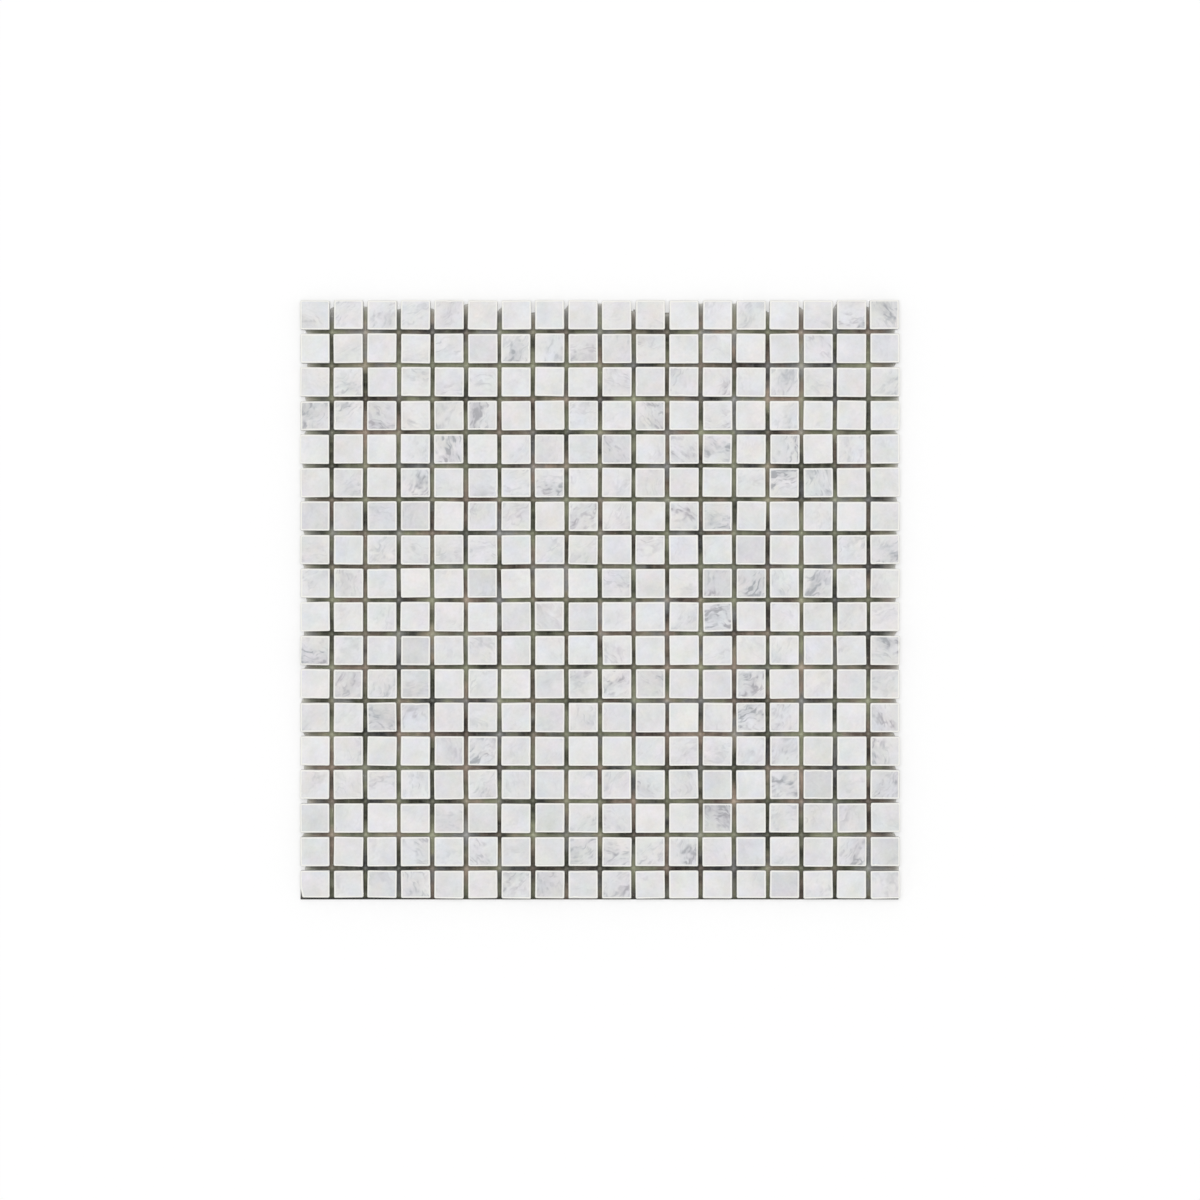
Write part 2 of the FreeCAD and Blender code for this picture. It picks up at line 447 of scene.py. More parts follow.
def stone_row(number, node):
    """One row of chips, each with its own size, place, rubbed edge with a painted highlight, and stone.
    """
    rng = draws(number)
    low, high = (np.array(corner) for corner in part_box(node))
    if node == ROWS[-1]:
        low[1] += BEAD_WIDTH
    chip_length = (high[0] - low[0] - (COLUMNS - 1) * JOINT) / COLUMNS
    half = np.array([chip_length / 2, (high[1] - low[1]) / 2])
    all_points, all_faces, fields = [], [], []
    count = 0
    for column in range(COLUMNS):
        points, faces, worn_and_highlit = one_chip(rng, half, low[2], high[2])
        plan = laid_plan(rng, points, low[:2] + half + [column * (chip_length + JOINT), 0])
        if node == ROWS[-1]:
            plan += bead_room(plan, chip_length)
        all_points.append(np.c_[plan, points[:, 2]])
        all_faces += [tuple(index + count for index in face) for face in faces]
        count += len(points)
        stone = chip_stone(rng, points, VEIN_STRENGTHS.get((number, column + 1)))
        fields.append({**stone, "stone_wear_and_highlight": worn_and_highlit})

    row = mesh_object(node.replace("tile_row", "marble_row"), np.vstack(all_points), all_faces)
    for name in fields[0]:
        point_attribute(row, name, np.concatenate([chip[name] for chip in fields]))
    finish_piece(row, "marble", node)
    return row


# The adhesive

def joint_centres(axis):
    """The joints' centre lines along one axis of the sheet."""
    count = (COLUMNS, len(ROWS))[axis]
    pitch = (SHEET_HIGH[axis] - SHEET_LOW[axis] + JOINT) / count
    return SHEET_LOW[axis] + pitch * np.arange(1, count) - JOINT / 2


def glue_lines(low, high, centres):
    """Grid lines along one axis, close together in the joints, and the chip that each gap lies under.

    A gap in a joint has -1 for its chip.
    """
    lines, chips = [low], []
    for number, centre in enumerate(centres):
        start = centre - GLUE_LINES[-1]
        steps = max(1, round((start - lines[-1]) / GLUE_STEP))
        lines += list(np.linspace(lines[-1], start, steps + 1)[1:])
        chips += [number] * steps
        across = [-away for away in reversed(GLUE_LINES[:-1])] + list(GLUE_LINES)
        lines += [centre + away for away in across]
        chips += [-1] * len(across)
    steps = max(1, round((high - lines[-1]) / GLUE_STEP))
    lines += list(np.linspace(lines[-1], high, steps + 1)[1:])
    chips += [len(centres)] * steps
    return np.array(lines), np.array(chips)


def glue_cells(chips_x, chips_y):
    """Faces over the grid: one for each cell in a joint, and one for all the cells under a chip."""
    wide = len(chips_x) + 1
    faces = []
    for j, row in enumerate(chips_y):
        for i, column in enumerate(chips_x):
            if row < 0 or column < 0:
                start = j * wide + i
                faces.append((start, start + 1, start + wide + 1, start + wide))
    for row in range(len(ROWS)):
        for column in range(COLUMNS):
            across = np.flatnonzero(chips_x == column)
            up = np.flatnonzero(chips_y == row)
            left, right, bottom, top = across[0], across[-1] + 1, up[0], up[-1] + 1
            edge = [bottom * wide + i for i in range(left, right)]
            edge += [j * wide + right for j in range(bottom, top)]
            edge += [top * wide + i for i in range(right, left, -1)]
            edge += [j * wide + left for j in range(top, bottom, -1)]
            faces.append(tuple(edge))
    return faces


def glue_heights(x, y, away_x, away_y, floor, rng):
    """The adhesive's surface: uneven in the joints, and drawn up where it meets the chips."""
    lumps = GLUE_LUMPS * random_field(rng, LUMP_LENGTHS)(x, y)
    climb = np.interp(random_field(rng, CLIMB_LENGTHS)(x, y), FIELD_LEVELS, GLUE_CLIMB)
    to_chip = np.hypot(np.maximum(GLUE_WALL - away_x, 0), np.maximum(GLUE_WALL - away_y, 0))
    height = floor + GLUE_SINK * (lumps - 1) + climb * np.exp(-((to_chip / GLUE_FILLET) ** 2))
    under = (away_x > GLUE_LINES[-2] + CLOSE) & (away_y > GLUE_LINES[-2] + CLOSE)
    return np.where(under, floor, height)


def drawn_back(rng, along, inside, most):
    """How far the points near a ragged edge are drawn in, by their places along it and inside it."""
    waving = random_field(rng, RAGGED_LENGTHS)(along, 0.0)
    ragged = np.clip(RAGGED_MIDDLE + RAGGED_SWING * waving, 0, 1)
    return most * ragged * np.clip(1 - inside / WANDER_REACH, 0, 1)


class CoatTop:
    """The coat's top surface: a grid of points between two corners, and how it looks at each of them."""

    def __init__(self, low, high, rng):
        centres = [joint_centres(axis) for axis in (0, 1)]
        lines_x, self.chips_x = glue_lines(low[0], high[0], centres[0])
        inner, chips_y = glue_lines(SHEET_LOW[1] + BEAD_WIDTH, high[1], centres[1])
        bead = [SHEET_LOW[1] + share * BEAD_WIDTH for share, _ in BEAD_PROFILE]
        self.chips_y = np.concatenate([np.full(len(bead), -1), chips_y])
        self.x, self.y = np.meshgrid(lines_x, np.concatenate([bead, inner]))
        self.inside = {"left": self.x - low[0], "right": high[0] - self.x, "first": high[1] - self.y}
        self.off_bead = np.clip((self.y - SHEET_LOW[1]) / WANDER_REACH, 0, 1)
        self.floor = high[2]
        away_x = np.abs(self.x[..., None] - centres[0]).min(axis=-1)
        away_y = np.abs(self.y[..., None] - centres[1]).min(axis=-1)
        self.z = glue_heights(self.x, self.y, away_x, away_y, self.floor, rng)

        # Painted light at the joints' open ends at the sides and the first row, fading inwards
        side_lit_film = np.exp(-np.minimum(self.inside["left"], self.inside["right"]) / SIDE_FADE)
        first_lit_film = np.exp(-self.inside["first"] / FIRST_FADE)
        self.looks = {
            # Painted light: paler where the joints cross
            "glue_crossing_light": np.clip(1 - np.maximum(away_x, away_y) / GLUE_WALL, 0, 1),
            "glue_lit_film": np.maximum(side_lit_film, first_lit_film) * self.off_bead,
            # Painted shade, darker towards the last row's side
            "glue_painted_shade": 1 - DARK_PAINTED_SHADE * np.exp(-(self.y - SHEET_LOW[1]) / DARK_REACH),
        }

    def raise_bead(self, rng):
        """The bead along the last row, and how dark its painted shadow is."""
        beads = len(BEAD_PROFILE)
        x = self.x[:beads]
        rise = np.array([height for _, height in BEAD_PROFILE])[:, None]
        lumps = random_field(rng, BEAD_LENGTHS, BEAD_WAVES)(x, 0.0)
        self.z[:beads] = self.floor + rise * (1 + BEAD_UNEVEN * lumps)
        # Painted shadow: the bead is darkened as a shadow line, most near the first column
        self.looks["glue_painted_shade"][:beads] = BEAD_PAINTED_SHADOW + (HEAVY_PAINTED_SHADOW - BEAD_PAINTED_SHADOW) * heavy_shadow_bead(x)

    def fray_edges(self, rng):
        """The ragged edges at the sides and at the first row. The bead ends short of the last column."""
        inwards = drawn_back(rng, self.y, self.inside["left"], SIDE_WANDER)
        inwards -= drawn_back(rng, self.y, self.inside["right"], SIDE_WANDER)
        self.y -= drawn_back(rng, self.x, self.inside["first"], FIRST_WANDER)
        self.x += inwards * self.off_bead
        self.x[:len(BEAD_PROFILE), -1] = SHEET_HIGH[0] - BEAD_END

    def spread_bead(self):
        """The bead's wider part, and its return at the sheet's corner, dark with painted shadow."""
        shares = np.array([share for share, _ in BEAD_PROFILE] + [1.0])[:, None]
        lines = len(shares)
        self.y[:lines] += HEAVY_EXTRA * heavy_shadow_bead(self.x[:lines]) * shares
        corner = self.y[:, 0] < SHEET_LOW[1] + RETURN_LENGTH
        self.x[corner, 0] = SHEET_LOW[0]
        # Painted shadow round the sheet's corner
        self.looks["glue_painted_shade"][corner, 0] = HEAVY_PAINTED_SHADOW

    def closed(self, bottom):
        """The coat's points and faces, with a wall round its rim and a flat back as the last face.

        It also gives, for each point, the point of the grid that it is at or under.
        """
        tall, wide = self.x.shape
        grid = np.arange(wide * tall).reshape(tall, wide)
        rim = np.concatenate([grid[0, :-1], grid[:-1, -1], grid[-1, :0:-1], grid[:0:-1, 0]])
        faces = glue_cells(self.chips_x, self.chips_y)
        used = np.unique(np.concatenate([np.array(face) for face in faces]))
        renumber = dict(zip(used.tolist(), range(len(used))))
        faces = [tuple(renumber[index] for index in face) for face in faces]
        top_rim = [renumber[index] for index in rim.tolist()]
        sources = np.concatenate([used, rim])
        points = np.c_[self.x.ravel(), self.y.ravel(), self.z.ravel()][sources]
        points[len(used):, 2] = bottom
        first, count = len(used), len(rim)
        for step in range(count):
            after = (step + 1) % count
            faces.append((first + step, first + after, top_rim[after], top_rim[step]))
        faces.append(tuple(first + step for step in reversed(range(count))))
        return points, faces, sources


def glue_coat(node):
    """The coat of adhesive, with its surface in the joints, its bead darkened as a painted shadow line,
    and its ragged cut edges.
    """
    rng = draws(COAT_DRAWS)
    low, high = (np.array(corner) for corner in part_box(node))
    low[0] -= SIDE_SPREAD
    high[:2] += SIDE_SPREAD, FIRST_SPREAD
    top = CoatTop(low, high, rng)
    top.raise_bead(rng)
    top.fray_edges(rng)
    top.spread_bead()
    points, faces, sources = top.closed(low[2])

    coat = mesh_object("glue_coat", points, faces)
    coat.data.polygons[-1].use_smooth = False
    for name, values in top.looks.items():
        point_attribute(coat, name, values.ravel()[sources])
    back = coat.data.attributes.new("glue_back", "FLOAT", "FACE")
    back.data[len(faces) - 1].value = 1.0
    finish_piece(coat, "adhesive", node)
    return coat


# The net

class Yarns:
    """The net's yarns that run along one axis: where they lie and how each of them wanders."""

    def __init__(self, axis, rng):
        self.axis = axis
        self.other = 1 - axis
        self.across = np.array([0.0, 1.0, 0.0]) if axis == 0 else np.array([-1.0, 0.0, 0.0])
        self.weave = -YARN_WEAVE if axis == 0 else YARN_WEAVE
        self.first, self.count = yarn_places(self.other)
        self.first_crossing = yarn_places(axis)[0]
        self.phases = rng.uniform(0, 2 * math.pi, size=self.count)
        self.lengths = rng.uniform(*YARN_WAVES, size=self.count)

    def in_panel(self, low, high):
        """The yarns that a panel holds. One on the line between two panels is in the later one."""
        places = self.first + YARN_PITCH * np.arange(self.count)
        near = YARN_WIDTH / 10
        return np.flatnonzero((places > low[self.other] - near) & (places < high[self.other] - near))

    def route(self, number, low, high):
        """Points along a yarn's middle from one side of a panel to the other."""
        step = YARN_PITCH / YARN_STEPS
        start, end = low[self.axis], high[self.axis]
        whole = self.first_crossing + step * np.arange(-YARN_STEPS, YARN_STEPS * (self.count + 1))
        inner = whole[(whole > start + step / 10) & (whole < end - step / 10)]
        along = np.concatenate([[start], inner, [end]])
        points = np.zeros((len(along), 3))
        points[:, self.axis] = along
        wander = YARN_WANDER * np.sin(2 * math.pi * along / self.lengths[number] + self.phases[number])
        points[:, self.other] = self.first + number * YARN_PITCH + wander
        turn = math.pi * ((along - self.first_crossing) / YARN_PITCH + number)
        points[:, 2] = (low[2] + high[2]) / 2 + self.weave * np.cos(turn)
        return points


def yarn_places(axis):
    """Along one axis, the place of the first yarn that crosses it and the number of such yarns."""
    low = min(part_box(panel)[0][axis] for panel in NET_PANELS)
    high = max(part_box(panel)[1][axis] for panel in NET_PANELS)
    meshes = math.floor((high - low - YARN_WIDTH) / YARN_PITCH + CLOSE)
    return (low + high - meshes * YARN_PITCH) / 2, meshes + 1


def yarn_mesh(route, across, first):
    """A flattened tube along a route, closed at both ends: its points and faces."""
    section = np.array(YARN_SECTION)
    around = len(section)
    shape = section[:, :1] * YARN_WIDTH * across + section[:, 1:] * YARN_HALF_HEIGHT * [0, 0, 1]
    points = (route[:, None, :] + shape).reshape(-1, 3)
    faces = []
    for near in range(first, first + (len(route) - 1) * around, around):
        for side in range(around):
            after = (side + 1) % around
            faces.append((near + side, near + after, near + around + after, near + around + side))
    last = first + (len(route) - 1) * around
    faces.append(tuple(first + side for side in reversed(range(around))))
    faces.append(tuple(last + side for side in range(around)))
    return points, faces


def woven_panel(panel, directions):
    """One panel of the net, with its yarns woven over and under each other.

    Each point knows its place on its yarn: along it in millimetres, and across it from -1 to 1.
    """
    low, high = (np.array(corner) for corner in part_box(panel))
    points, faces, places = [], [], []
    count = 0
    for yarns in directions:
        for number in yarns.in_panel(low, high):
            route = yarns.route(number, low, high)
            tube, skin = yarn_mesh(route, yarns.across, count)
            points.append(tube)
            faces += skin
            count += len(tube)
            along = np.repeat(route[:, yarns.axis] / MM, len(YARN_SECTION))
            side = np.tile([place for place, _ in YARN_SECTION], len(route))
            places.append(np.c_[along, 2 * side, np.zeros(len(tube))])
    woven = mesh_object(panel.replace("net_panel", "woven_net"), np.vstack(points), faces)
    point_attribute(woven, "yarn_place", np.vstack(places))
    finish_piece(woven, "net", panel)
    return woven


# Material helpers

def new_material(name):
    material = bpy.data.materials.new(name)
    material.use_nodes = True
    tree = material.node_tree
    tree.nodes.clear()
    output = tree.nodes.new("ShaderNodeOutputMaterial")
    shader = tree.nodes.new("ShaderNodeBsdfPrincipled")
    tree.links.new(shader.outputs["BSDF"], output.inputs["Surface"])
    return material, tree, shader


def put(tree, socket, value):
    """Sets a socket to a value, or links another socket to it."""
    if isinstance(value, bpy.types.NodeSocket):
        tree.links.new(value, socket)
    else:
        socket.default_value = value


def attribute(tree, name, output="Fac"):
    node = tree.nodes.new("ShaderNodeAttribute")
    node.attribute_name = name
    return node.outputs[output]


def object_place(tree):
    return tree.nodes.new("ShaderNodeTexCoord").outputs["Object"]


def axes(tree, vector):
    """The X, Y and Z of a vector, by their names."""
    node = tree.nodes.new("ShaderNodeSeparateXYZ")
    tree.links.new(vector, node.inputs["Vector"])
    return node.outputs


def math_node(tree, operation, *values):
    node = tree.nodes.new("ShaderNodeMath")
    node.operation = operation
    for socket, value in zip(node.inputs, values):
        put(tree, socket, value)
    return node.outputs["Value"]


def weighted(tree, *terms):
    """A sum of sockets and numbers, each term a value and its weight."""
    total = None
    for value, weight in terms:
        part = math_node(tree, "MULTIPLY", value, weight)
        total = part if total is None else math_node(tree, "ADD", total, part)
    return total


def product(tree, *values):
    total = values[0]
    for value in values[1:]:
        total = math_node(tree, "MULTIPLY", total, value)
    return total


def vector_node(tree, operation, *values):
    node = tree.nodes.new("ShaderNodeVectorMath")
    node.operation = operation
    for socket, value in zip(node.inputs, values):
        put(tree, socket, value)
    return node.outputs["Vector"]


def scaled(tree, colour, level):
    """A colour or vector times a number."""
    node = tree.nodes.new("ShaderNodeVectorMath")
    node.operation = "SCALE"
    put(tree, node.inputs[0], colour)
    put(tree, node.inputs["Scale"], level)
    return node.outputs["Vector"]


def noise(tree, place, scale, detail=3.0, roughness=0.5, output="Fac"):
    """A noise from about 0 to 1, or three as a colour, with about scale lumps to a unit of place."""
    node = tree.nodes.new("ShaderNodeTexNoise")
    put(tree, node.inputs["Vector"], place)
    node.inputs["Scale"].default_value = scale
    node.inputs["Detail"].default_value = detail
    node.inputs["Roughness"].default_value = roughness
    return node.outputs[output]


def swing(tree, place, scale, detail=3.0, roughness=0.5):
    """A noise about nought, from about -0.5 to 0.5."""
    return math_node(tree, "SUBTRACT", noise(tree, place, scale, detail, roughness), 0.5)


def vector_swing(tree, place, scale, detail=3.0, roughness=0.5):
    """Three noises about nought, as a vector."""
    colour = noise(tree, place, scale, detail, roughness, "Color")
    return vector_node(tree, "SUBTRACT", colour, (0.5, 0.5, 0.5))


def between(tree, value, low, high, to_low=0.0, to_high=1.0):
    """A smooth step, from to_low where the value is low to to_high where it is high."""
    node = tree.nodes.new("ShaderNodeMapRange")
    node.interpolation_type = "SMOOTHSTEP"
    put(tree, node.inputs["Value"], value)
    node.inputs["From Min"].default_value = low
    node.inputs["From Max"].default_value = high
    node.inputs["To Min"].default_value = to_low
    node.inputs["To Max"].default_value = to_high
    return node.outputs["Result"]


def mixed(tree, share, first, second):
    node = tree.nodes.new("ShaderNodeMix")
    node.data_type = "RGBA"
    put(tree, node.inputs[0], share)
    put(tree, node.inputs[6], first)
    put(tree, node.inputs[7], second)
    return node.outputs[2]


def bump(tree, height, strength, distance):
    node = tree.nodes.new("ShaderNodeBump")
    node.inputs["Strength"].default_value = strength
    node.inputs["Distance"].default_value = distance
    tree.links.new(height, node.inputs["Height"])
    return node.outputs["Normal"]


def level_lines(tree, place, scale, width):
    """Soft lines where a noise crosses its middle level."""
    away = math_node(tree, "ABSOLUTE", swing(tree, place, scale, detail=2.0))
    return between(tree, away, 0.0, width, 1.0, 0.0)


def grid_marks(tree, place, firsts, pitch, edge, middle):
    """Soft lines of a square grid, from 0 beside a line to 1 along its middle.

    A cosine wave across the lines is at the edge level beside them and at the middle level on them.
    """
    parts = axes(tree, place)
    lines = []
    for first, name in zip(firsts, "XY"):
        turns = weighted(tree, (parts[name], 1 / pitch), (1.0, -first / pitch))
        wave = math_node(tree, "COSINE", math_node(tree, "MULTIPLY", turns, 2 * math.pi))
        lines.append(between(tree, wave, edge, middle))
    return math_node(tree, "MAXIMUM", *lines)


# Marble

def marble_veins(tree, place, line):
    """Grey strokes and smudges along a bent vein, which lies where the line's X is nought."""
    bend = swing(tree, place, scale=0.9, detail=2.0)
    fray = swing(tree, place, scale=2.6, detail=2.0)
    across = weighted(tree, (bend, 1.6), (fray, 0.5), (axes(tree, line)["X"], 1.0))
    away = math_node(tree, "ABSOLUTE", across)
    band = between(tree, away, 0.0, 0.65, 1.0, 0.0)
    beside = between(tree, away, 0.2, 1.1, 1.0, 0.25)

    # Marks that are drawn out along the vein
    warp = vector_swing(tree, place, scale=1.1, detail=2.0)
    drawn = vector_node(tree, "ADD", line, scaled(tree, warp, 0.9))
    drawn = vector_node(tree, "MULTIPLY", drawn, (1.5, 0.5, 0.8))
    smudges = between(tree, noise(tree, drawn, scale=1.5, detail=2.0), 0.3, 0.74)
    broken = between(tree, noise(tree, place, scale=2.2, detail=1.0), 0.42, 0.62)
    strokes = product(tree, level_lines(tree, drawn, scale=1.6, width=0.09), broken)
    blots = between(tree, noise(tree, drawn, scale=4.2, detail=1.0), 0.5, 0.8)

    cloudy = between(tree, noise(tree, place, scale=3.5, detail=2.0), 0.3, 0.7, 0.5, 1.0)
    on_line = product(tree, band, cloudy, weighted(tree, (smudges, 0.67), (1.0, 0.08)))
    near_line = product(tree, beside, weighted(tree, (strokes, 1.0), (smudges, 0.22), (blots, 0.65)))
    return weighted(tree, (on_line, 1.0), (near_line, 1.0), (1.0, 0.08))


def vein_colour(tree, place, veins):
    """Bluish grey in some places, violet grey in others, and darker where the veins are strongest."""
    violet = between(tree, noise(tree, place, scale=0.5, detail=1.0), 0.35, 0.65)
    grey = mixed(tree, violet, BLUE_VEIN, VIOLET_VEIN)
    return scaled(tree, grey, between(tree, veins, 0.7, 1.2, 1.0, 0.78))


def marble_ground(tree, place, grain):
    """The pale ground: each chip's own tone and hue, with faint clouds, tints and crystal grain."""
    cloud = swing(tree, place, scale=1.0, roughness=0.6)
    mottle = swing(tree, place, scale=6.5, detail=2.0)
    tone = attribute(tree, "stone_tone")
    level = weighted(tree, (tone, 1.0), (cloud, 0.36), (mottle, 0.13), (grain, 0.11), (1.0, 1.0))
    warmth = between(tree, attribute(tree, "stone_hue"), -2.5, 2.5)
    ground = mixed(tree, warmth, COOL_MARBLE, WARM_MARBLE)
    tint = vector_node(tree, "MULTIPLY", vector_swing(tree, place, scale=0.9, roughness=0.6), TINT_SPREAD)
    tint = vector_node(tree, "ADD", tint, TINT_MIDDLE)
    return vector_node(tree, "MULTIPLY", scaled(tree, ground, level), tint)


def sawn_lines(tree, side):
    """Fine level lines that the saw left along the sides."""
    flattened = vector_node(tree, "MULTIPLY", object_place(tree), (50.0, 50.0, 1900.0))
    return product(tree, side, swing(tree, flattened, scale=1.0))


def smeared_foot(tree, place):
    """Where adhesive is smeared round the foot of the chips, up to an uneven height."""
    height = axes(tree, object_place(tree))["Z"]
    smear = weighted(tree, (noise(tree, place, scale=3.0), 4.0 * MM), (height, -1.0))
    return between(tree, smear, -0.6 * MM, 0.4 * MM)


def marble():
    """Honed marble. Places in the stone are in centimetres."""
    material, tree, shader = new_material("honed_marble")
    place = attribute(tree, "stone_place", "Vector")
    wear_and_highlight = attribute(tree, "stone_wear_and_highlight")
    worn_and_highlit = math_node(tree, "MAXIMUM", wear_and_highlight, 0.0)
    side = between(tree, wear_and_highlight, SAWN, 0.0, 1.0, 0.0)
    line = attribute(tree, "stone_line", "Vector")
    veins = product(tree, marble_veins(tree, place, line), attribute(tree, "stone_veins"))
    grain = swing(tree, place, scale=22.0, detail=2.0)
    sawn = sawn_lines(tree, side)
    foot = smeared_foot(tree, place)

    colour = marble_ground(tree, place, grain)
    colour = mixed(tree, math_node(tree, "MINIMUM", veins, 0.9), colour, vein_colour(tree, place, veins))
    # Pale rim round the face: partly rubbed stone, partly a painted highlight
    colour = mixed(tree, math_node(tree, "MULTIPLY", worn_and_highlit, 0.95), colour, WORN_AND_HIGHLIT_MARBLE)
    colour = scaled(tree, colour, weighted(tree, (sawn, 0.16), (1.0, 1.0)))
    colour = mixed(tree, math_node(tree, "MULTIPLY", foot, 0.75), colour, SMEARED_GLUE)
    put(tree, shader.inputs["Base Color"], colour)

    rough = weighted(tree, (worn_and_highlit, 0.15), (grain, 0.25), (foot, 0.2), (side, 0.2), (1.0, 0.38))
    put(tree, shader.inputs["Roughness"], rough)
    pits = between(tree, noise(tree, place, scale=9.0, detail=2.0), 0.68, 0.74, 0.0, -1.0)
    relief = weighted(tree, (pits, 0.6), (grain, 0.5), (sawn, 1.4))
    put(tree, shader.inputs["Normal"], bump(tree, relief, strength=0.35, distance=0.08 * MM))
    return material


# Adhesive

def glue_colour(tree, place):
    """Olive adhesive, with brownish and greyish patches."""
    brown = between(tree, noise(tree, place, scale=38.0, detail=2.0), 0.45, 0.63)
    grey = between(tree, noise(tree, place, scale=47.0, detail=2.0, roughness=0.6), 0.5, 0.68)
    return mixed(tree, grey, mixed(tree, brown, OLIVE_GLUE, BROWN_GLUE), GREY_GLUE)


def chips_behind(tree, place):
    """Where the chips' backs show through the coat, in patches and never over a joint."""
    centres = [joint_centres(axis) for axis in (0, 1)]
    pitch = centres[0][1] - centres[0][0]
    joints = grid_marks(tree, place, [lines[0] for lines in centres], pitch, edge=0.9, middle=0.96)
    thin = between(tree, noise(tree, place, scale=90.0), 0.32, 0.66, 0.35, 0.8)
    return product(tree, math_node(tree, "SUBTRACT", 1.0, joints), thin)


def adhesive():
    """The coat's material: patchy in the joints, with painted light at their ends and where they cross,
    painted shade near the last row's side, a painted shadow on the bead and faint ridges over the net's
    yarns. The chips show through its back.
    """
    material, tree, shader = new_material("adhesive_coat")
    place = object_place(tree)
    back = attribute(tree, "glue_back")
    front = math_node(tree, "SUBTRACT", 1.0, back)
    # Painted light where the joints cross and at their open ends, and painted shade near the last row;
    # the back has none
    crossing_light = product(tree, attribute(tree, "glue_crossing_light"), front)
    lit_film = product(tree, attribute(tree, "glue_lit_film"), front)
    shade = math_node(tree, "MAXIMUM", attribute(tree, "glue_painted_shade"), back)
    first_yarns = [yarn_places(axis)[0] for axis in (0, 1)]
    ridges = grid_marks(tree, place, first_yarns, YARN_PITCH, edge=0.55, middle=1.0)
    patches = between(tree, noise(tree, place, scale=55.0, detail=2.0), 0.32, 0.68)
    lumps = noise(tree, place, scale=260.0)
    grit = noise(tree, place, scale=1500.0, detail=2.0)

    body = math_node(tree, "MAXIMUM", patches, weighted(tree, (back, 0.6)))
    level = weighted(
        tree,
        (body, 1.1),
        (between(tree, lumps, 0.3, 0.7), 0.3),
        (grit, 0.2),
        (ridges, 0.12),
        (crossing_light, 0.42),
        (1.0, 0.04),
    )
    # Painted shade and the bead's painted shadow darken the coat's colour here
    colour = scaled(tree, glue_colour(tree, place), product(tree, level, shade))
    # Painted light: the pale coat at the joints' open ends
    colour = mixed(tree, lit_film, colour, PALE_LIT_FILM)
    colour = mixed(tree, product(tree, chips_behind(tree, place), back), colour, CHIP_BACKS)
    put(tree, shader.inputs["Base Color"], colour)
    put(tree, shader.inputs["Roughness"], between(tree, grit, 0.3, 0.7, 0.45, 0.7))
    relief = weighted(tree, (lumps, 0.8), (grit, 0.15), (ridges, 0.5))
    put(tree, shader.inputs["Normal"], bump(tree, relief, strength=0.6, distance=0.25 * MM))
    return material


# Glass yarn

def glass_net():
    """The net's material: fine slanting filaments, with drops of coating."""
    material, tree, shader = new_material("coated_glass_net")
    on_yarn = axes(tree, attribute(tree, "yarn_place", "Vector"))
    coating = noise(tree, object_place(tree), scale=420.0)
    slant = weighted(tree, (on_yarn["Y"], 11.0), (on_yarn["X"], 1.4), (coating, 5.0))
    filaments = math_node(tree, "SINE", slant)
    strand = between(tree, filaments, -1.0, 1.0)
    drops = between(tree, coating, 0.58, 0.7)
    colour = mixed(tree, strand, DARK_YARN, PALE_YARN)
    colour = mixed(tree, math_node(tree, "MULTIPLY", drops, 0.7), colour, YARN_COATING)
    put(tree, shader.inputs["Base Color"], colour)
    put(tree, shader.inputs["Roughness"], between(tree, drops, 0.0, 1.0, 0.55, 0.32))
    relief = weighted(tree, (filaments, 0.6), (coating, 0.8))
    put(tree, shader.inputs["Normal"], bump(tree, relief, strength=0.6, distance=0.05 * MM))
    return material


def dress(thing, material):
    thing.data.materials.clear()
    thing.data.materials.append(material)


# Stage, lights and camera

def seen_directly(tree):
    """1 for the rays that show the background: the camera's own, and those of gloss and glass."""
    path = tree.nodes.new("ShaderNodeLightPath")
    seen = math_node(tree, "MAXIMUM", path.outputs["Is Camera Ray"], path.outputs["Is Glossy Ray"])
    return math_node(tree, "MAXIMUM", seen, path.outputs["Is Transmission Ray"])


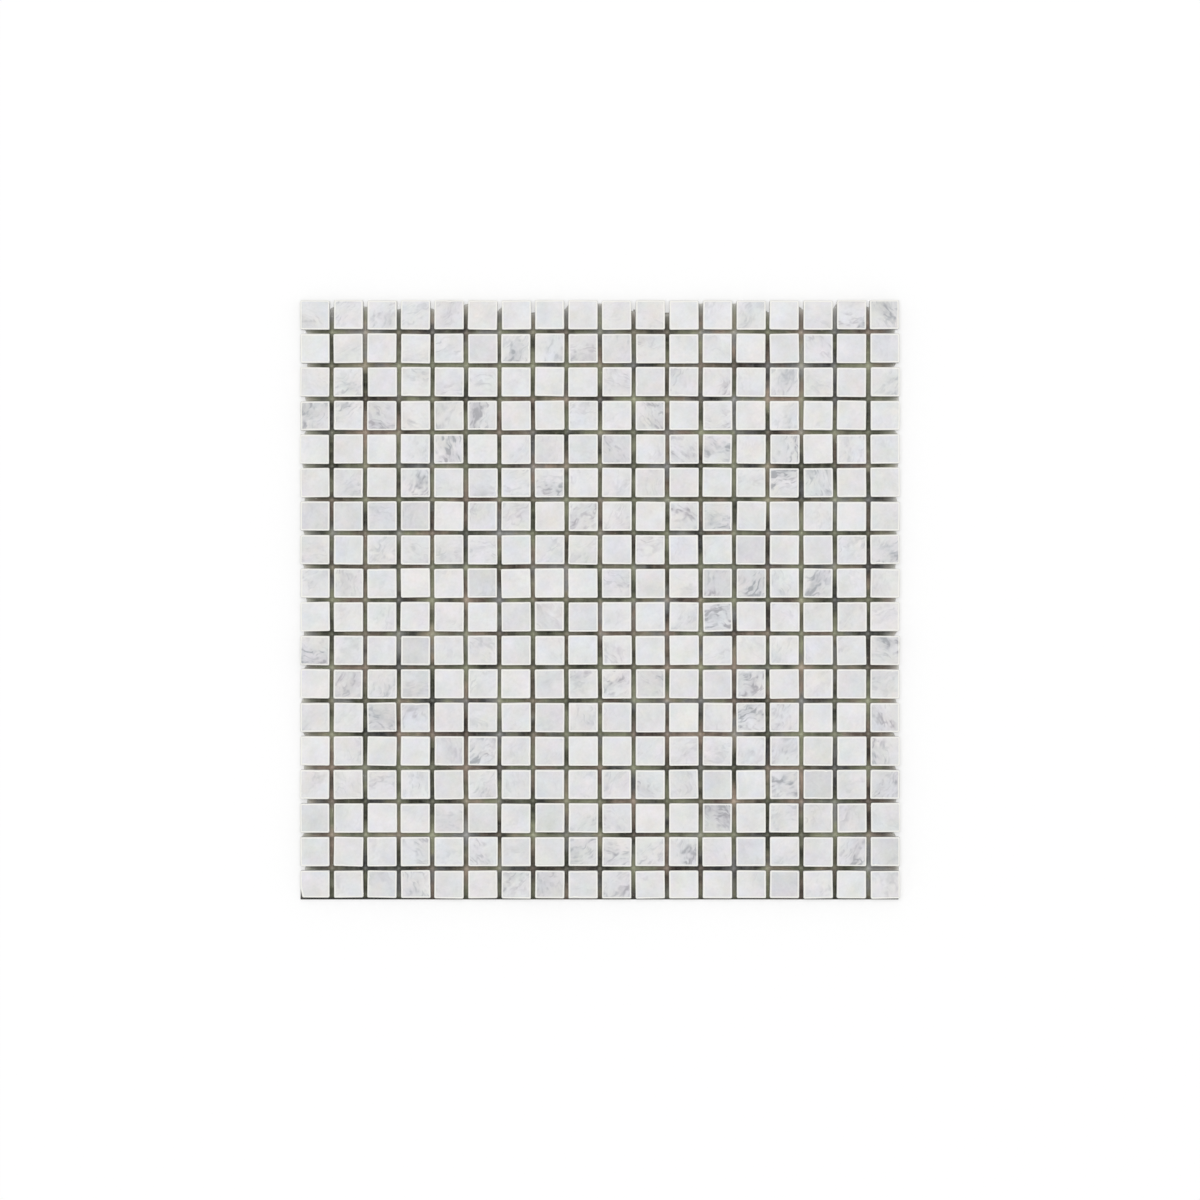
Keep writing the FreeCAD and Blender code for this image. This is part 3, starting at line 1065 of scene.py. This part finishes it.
def white_floor():
    """A pale floor that the camera sees as white. It keeps the sheet's soft shadow."""
    half = FLOOR_SIZE / 2
    corners = [(-half, -half, 0.0), (half, -half, 0.0), (half, half, 0.0), (-half, half, 0.0)]
    floor = mesh_object("floor", corners, [(0, 1, 2, 3)])
    material, tree, shader = new_material("white_floor")
    seen = seen_directly(tree)
    put(tree, shader.inputs["Base Color"], mixed(tree, seen, LIT_FLOOR, WHITE))
    shader.inputs["Roughness"].default_value = FLOOR_ROUGHNESS
    shader.inputs["Specular IOR Level"].default_value = 0.0
    glow = tree.nodes.new("ShaderNodeEmission")
    glow.inputs["Strength"].default_value = GLOW_LEVEL
    mix = tree.nodes.new("ShaderNodeMixShader")
    put(tree, mix.inputs["Fac"], math_node(tree, "MULTIPLY", seen, FLOOR_GLOW))
    tree.links.new(shader.outputs["BSDF"], mix.inputs[1])
    tree.links.new(glow.outputs["Emission"], mix.inputs[2])
    output = next(node for node in tree.nodes if node.type == "OUTPUT_MATERIAL")
    tree.links.new(mix.outputs["Shader"], output.inputs["Surface"])
    dress(floor, material)


def soft_key():
    data = bpy.data.lights.new("soft_key", "AREA")
    data.shape = "SQUARE"
    data.size = KEY_SIZE
    data.energy = KEY_POWER
    light = bpy.data.objects.new("soft_key", data)
    bpy.context.scene.collection.objects.link(light)
    light.location = KEY_PLACE
    light.rotation_mode = "QUATERNION"
    light.rotation_quaternion = (-Vector(KEY_PLACE)).to_track_quat("-Z", "Y")


def white_world():
    """An even sky that lights the sheet, and that the camera sees as white."""
    world = bpy.data.worlds.new("studio")
    world.use_nodes = True
    tree = world.node_tree
    background = tree.nodes["Background"]
    background.inputs["Color"].default_value = WHITE
    level = weighted(tree, (seen_directly(tree), 1 - WORLD_LEVEL), (1.0, WORLD_LEVEL))
    put(tree, background.inputs["Strength"], level)
    bpy.context.scene.world = world


def camera():
    """A far camera straight over the sheet's middle."""
    data = bpy.data.cameras.new("camera")
    data.sensor_width = SENSOR
    low, high = FIRST_BOX
    picture_width = (high[0] - low[0]) / (SHEET_PIXELS / PICTURE_PIXELS)
    data.lens = SENSOR * CAMERA_HEIGHT / picture_width
    data.clip_start, data.clip_end = CAMERA_CLIP
    view = bpy.data.objects.new("camera", data)
    bpy.context.scene.collection.objects.link(view)
    view.location = ((low[0] + high[0]) / 2, (low[1] + high[1]) / 2, high[2] + CAMERA_HEIGHT)
    bpy.context.scene.camera = view


camera()
white_world()
soft_key()
white_floor()

stone = marble()
for number, node in enumerate(ROWS, 1):
    dress(stone_row(number, node), stone)
dress(glue_coat("adhesive_coat"), adhesive())
weaving = draws(NET_DRAWS)
directions = [Yarns(axis, weaving) for axis in (0, 1)]
yarn_material = glass_net()
for panel in NET_PANELS:
    dress(woven_panel(panel, directions), yarn_material)

bpy.context.scene.view_settings.view_transform = "Standard"
